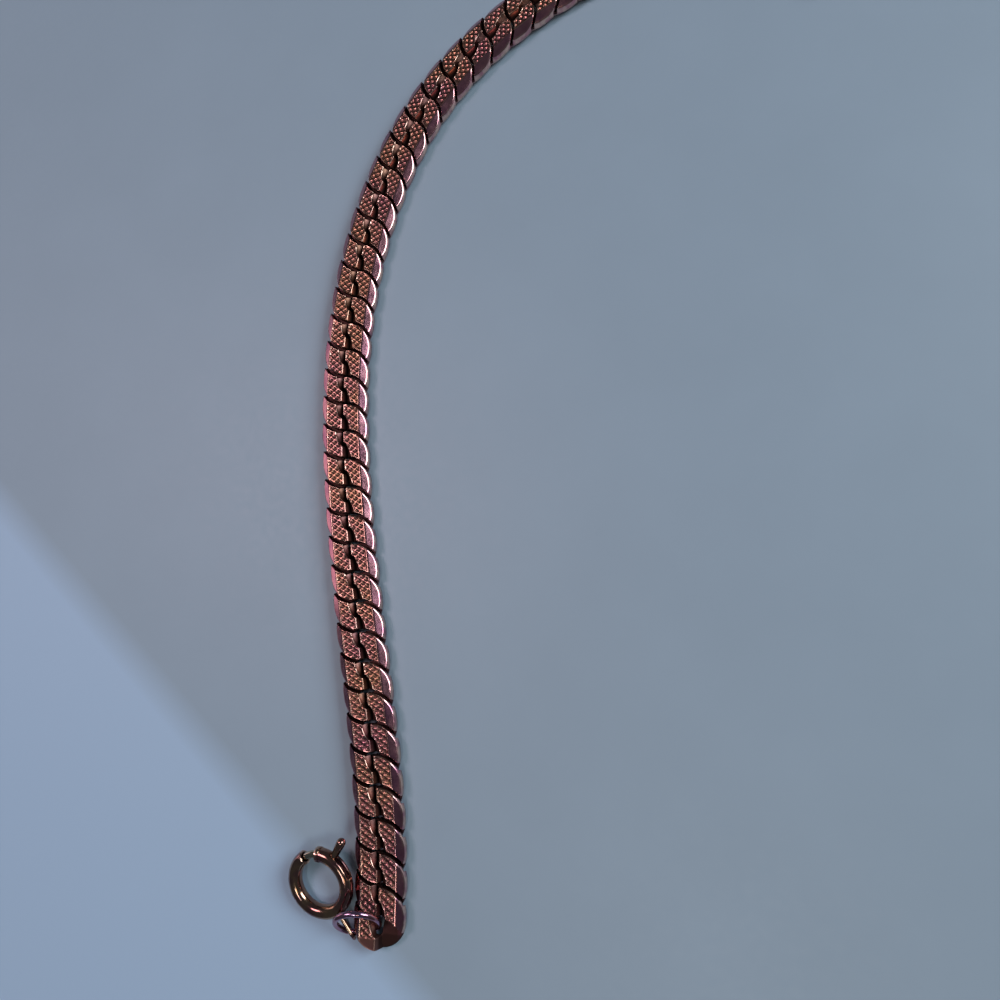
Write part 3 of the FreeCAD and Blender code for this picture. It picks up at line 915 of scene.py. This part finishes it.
class WATCHCHAIN_OT_bar(bpy.types.Operator):
    """Build the T-bar: rod, balls, collar and loop"""
    bl_idname = "watch_chain.bar"
    bl_label = "T-bar"

    def execute(self, context):
        colours = settings().colours
        tints = (tuple(tint) for tint in (colours.rose, colours.facet, colours.dirt_shade_colour))
        plate = polished_metal("bar_plate", *tints)
        for piece, node in bar_pieces(settings().bar):
            finish_piece(piece, "t_bar", node, plate)
        return {"FINISHED"}


class WATCHCHAIN_OT_stage(bpy.types.Operator):
    """Lay the floor, set the lights and place the camera"""
    bl_idname = "watch_chain.stage"
    bl_label = "Stage"

    def execute(self, context):
        scene = context.scene
        add_floor()
        add_world()
        add_lights()
        scene.camera = add_camera()
        scene.view_settings.view_transform = "Standard"
        return {"FINISHED"}


FLOOR_REACH = 1.5
FLOOR_HEIGHT = -0.02 * MM
CAMERA_OFFSET = np.array((37.40, 37.01)) * MM     # from the link beside the clasp
CAMERA_HEIGHT = 92.55 * MM
CAMERA_TURN = (8.853, 14.621, 2.251)
CAMERA_LENS = 27.36


def add_floor():
    centre = np.mean(cad_box, axis=0)
    corners = [(centre[0] + sx * FLOOR_REACH, centre[1] + sy * FLOOR_REACH, FLOOR_HEIGHT)
               for sx, sy in ((-1, -1), (1, -1), (1, 1), (-1, 1))]
    mesh = bpy.data.meshes.new("floor")
    mesh.from_pydata(corners, [], [(0, 1, 2, 3)])
    mesh.materials.append(floor_material(settings().colours))
    floor = bpy.data.objects.new("floor", mesh)
    bpy.context.scene.collection.objects.link(floor)


def add_world():
    world = bpy.data.worlds.new("studio")
    bpy.context.scene.world = world
    world.use_nodes = True
    background = world.node_tree.nodes["Background"]
    background.inputs["Color"].default_value = (0.62, 0.72, 0.85, 1)
    background.inputs["Strength"].default_value = 0.10


def add_light(name, place, target, size, energy, colour):
    data = bpy.data.lights.new(name, "AREA")
    data.shape = "RECTANGLE"
    data.size, data.size_y = size
    data.energy = energy
    data.color = colour
    light = bpy.data.objects.new(name, data)
    light.location = place
    light.rotation_euler = Vector(place - target).to_track_quat("Z", "Y").to_euler()
    bpy.context.scene.collection.objects.link(light)


def mirror_place(spot, eye, distance, normal=UP):
    """Where a light shows to the eye in a mirror at the spot: ray = 2 (n . v) n - v."""
    view = unit(eye - spot)
    return spot + distance * (2 * (normal @ view) * normal - view)


def camera_place():
    x, y = LINK_CENTRES[0][:2] + CAMERA_OFFSET
    return np.array((x, y, CAMERA_HEIGHT))


def add_lights():
    eye = camera_place()
    middle = np.mean(cad_box, axis=0)
    clasp_end, pink_spot = LINK_CENTRES[0], LINK_CENTRES[14]
    pink_place = mirror_place(pink_spot, eye, 0.42)
    add_light("pink_window", pink_place, pink_spot, (0.12, 0.16), 0.55, (1.0, 0.72, 0.80))
    overhead = clasp_end + 0.6 * unit(np.array((0.05, -0.37, 0.93)))
    add_light("cool_window", overhead, clasp_end, (0.05, 0.20), 0.42, (0.90, 0.95, 0.97))
    gold = clasp_end + 0.5 * unit(np.array((0.26, -0.37, 0.89)))
    add_light("warm_lamp", gold, clasp_end, (0.05, 0.08), 0.10, (1.0, 0.80, 0.50))
    left_facet = unit(np.array((-0.6, 0, 1)))
    left = mirror_place(pink_spot, eye, 0.4, left_facet) + (0, 0, 0.03)
    add_light("pink_left", left, pink_spot, (0.24, 0.13), 0.12, (1.0, 0.72, 0.80))
    sky = middle + 0.8 * unit(np.array((0.75, 0.35, 0.56)))
    add_light("main_sky", sky, middle, (0.40, 0.40), 5.2, (0.86, 0.93, 1.0))


def add_camera():
    data = bpy.data.cameras.new("camera")
    data.lens = CAMERA_LENS
    data.sensor_width = 36
    data.clip_start = 0.005
    camera = bpy.data.objects.new("camera", data)
    camera.location = camera_place()
    camera.rotation_euler = [math.radians(turn) for turn in CAMERA_TURN]
    bpy.context.scene.collection.objects.link(camera)
    return camera


class WATCHCHAIN_PT_panel(bpy.types.Panel):
    """Lists the chain's operators and their sizes"""
    bl_label = "Watch Chain"
    bl_idname = "WATCHCHAIN_PT_panel"
    bl_space_type = "VIEW_3D"
    bl_region_type = "UI"
    bl_category = "Watch Chain"

    def draw(self, context):
        chain = context.scene.watch_chain
        for group in (chain.links, chain.clasp, chain.bar, chain.colours):
            column = self.layout.column()
            for name in group.__annotations__:
                column.prop(group, name)
        for operator in OPERATORS:
            self.layout.operator(operator.bl_idname)


GROUPS = (ChainLinkSizes, ClaspSizes, BarSizes, ChainColours, WatchChainSettings)
OPERATORS = (WATCHCHAIN_OT_links, WATCHCHAIN_OT_clasp, WATCHCHAIN_OT_jump_rings, WATCHCHAIN_OT_bar,
             WATCHCHAIN_OT_stage)


def register():
    for item in (*GROUPS, *OPERATORS, WATCHCHAIN_PT_panel):
        bpy.utils.register_class(item)
    bpy.types.Scene.watch_chain = PointerProperty(type=WatchChainSettings)


def unregister():
    del bpy.types.Scene.watch_chain
    for item in reversed((*GROUPS, *OPERATORS, WATCHCHAIN_PT_panel)):
        bpy.utils.unregister_class(item)


def main():
    register()
    bpy.ops.watch_chain.links()
    bpy.ops.watch_chain.clasp()
    bpy.ops.watch_chain.jump_rings()
    bpy.ops.watch_chain.bar()
    bpy.ops.watch_chain.stage()


if __name__ == "__main__":
    main()
